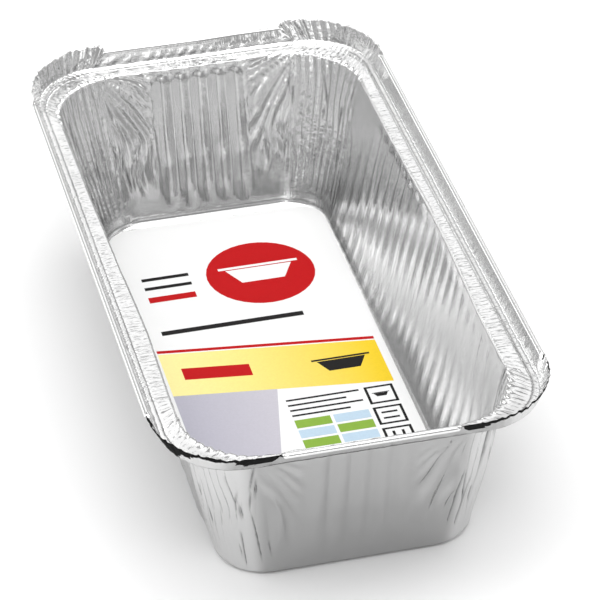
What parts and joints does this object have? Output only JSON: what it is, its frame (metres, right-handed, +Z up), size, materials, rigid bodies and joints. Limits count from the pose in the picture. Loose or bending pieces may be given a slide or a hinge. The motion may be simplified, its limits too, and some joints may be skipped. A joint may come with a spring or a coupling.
{
  "type": "foil food tray",
  "caption": "Deep rectangular foil food tray with fluted leaning walls, gathered corners and a rolled rim, with a printed card lying on its floor.",
  "frame": {"origin": "middle of the underside of the tray's standing ring", "axes": "+Z up, long side along Y, width along X"},
  "size_m": [0.1122, 0.2222, 0.0572],
  "materials": {
    "foil": "bright rolled foil",
    "card": "smooth coated card",
    "ink_lilac": "printed",
    "ink_yellow": "printed",
    "ink_red": "printed",
    "ink_green": "printed",
    "ink_blue": "printed",
    "ink_dark": "printed"
  },
  "bodies": {
    "root": {"foil_tray": "foil", "label_card": "card", "print_lilac": "ink_lilac", "print_yellow": "ink_yellow", "print_red": "ink_red", "print_green": "ink_green", "print_blue": "ink_blue", "print_dark": "ink_dark"}
  },
  "joints": []
}
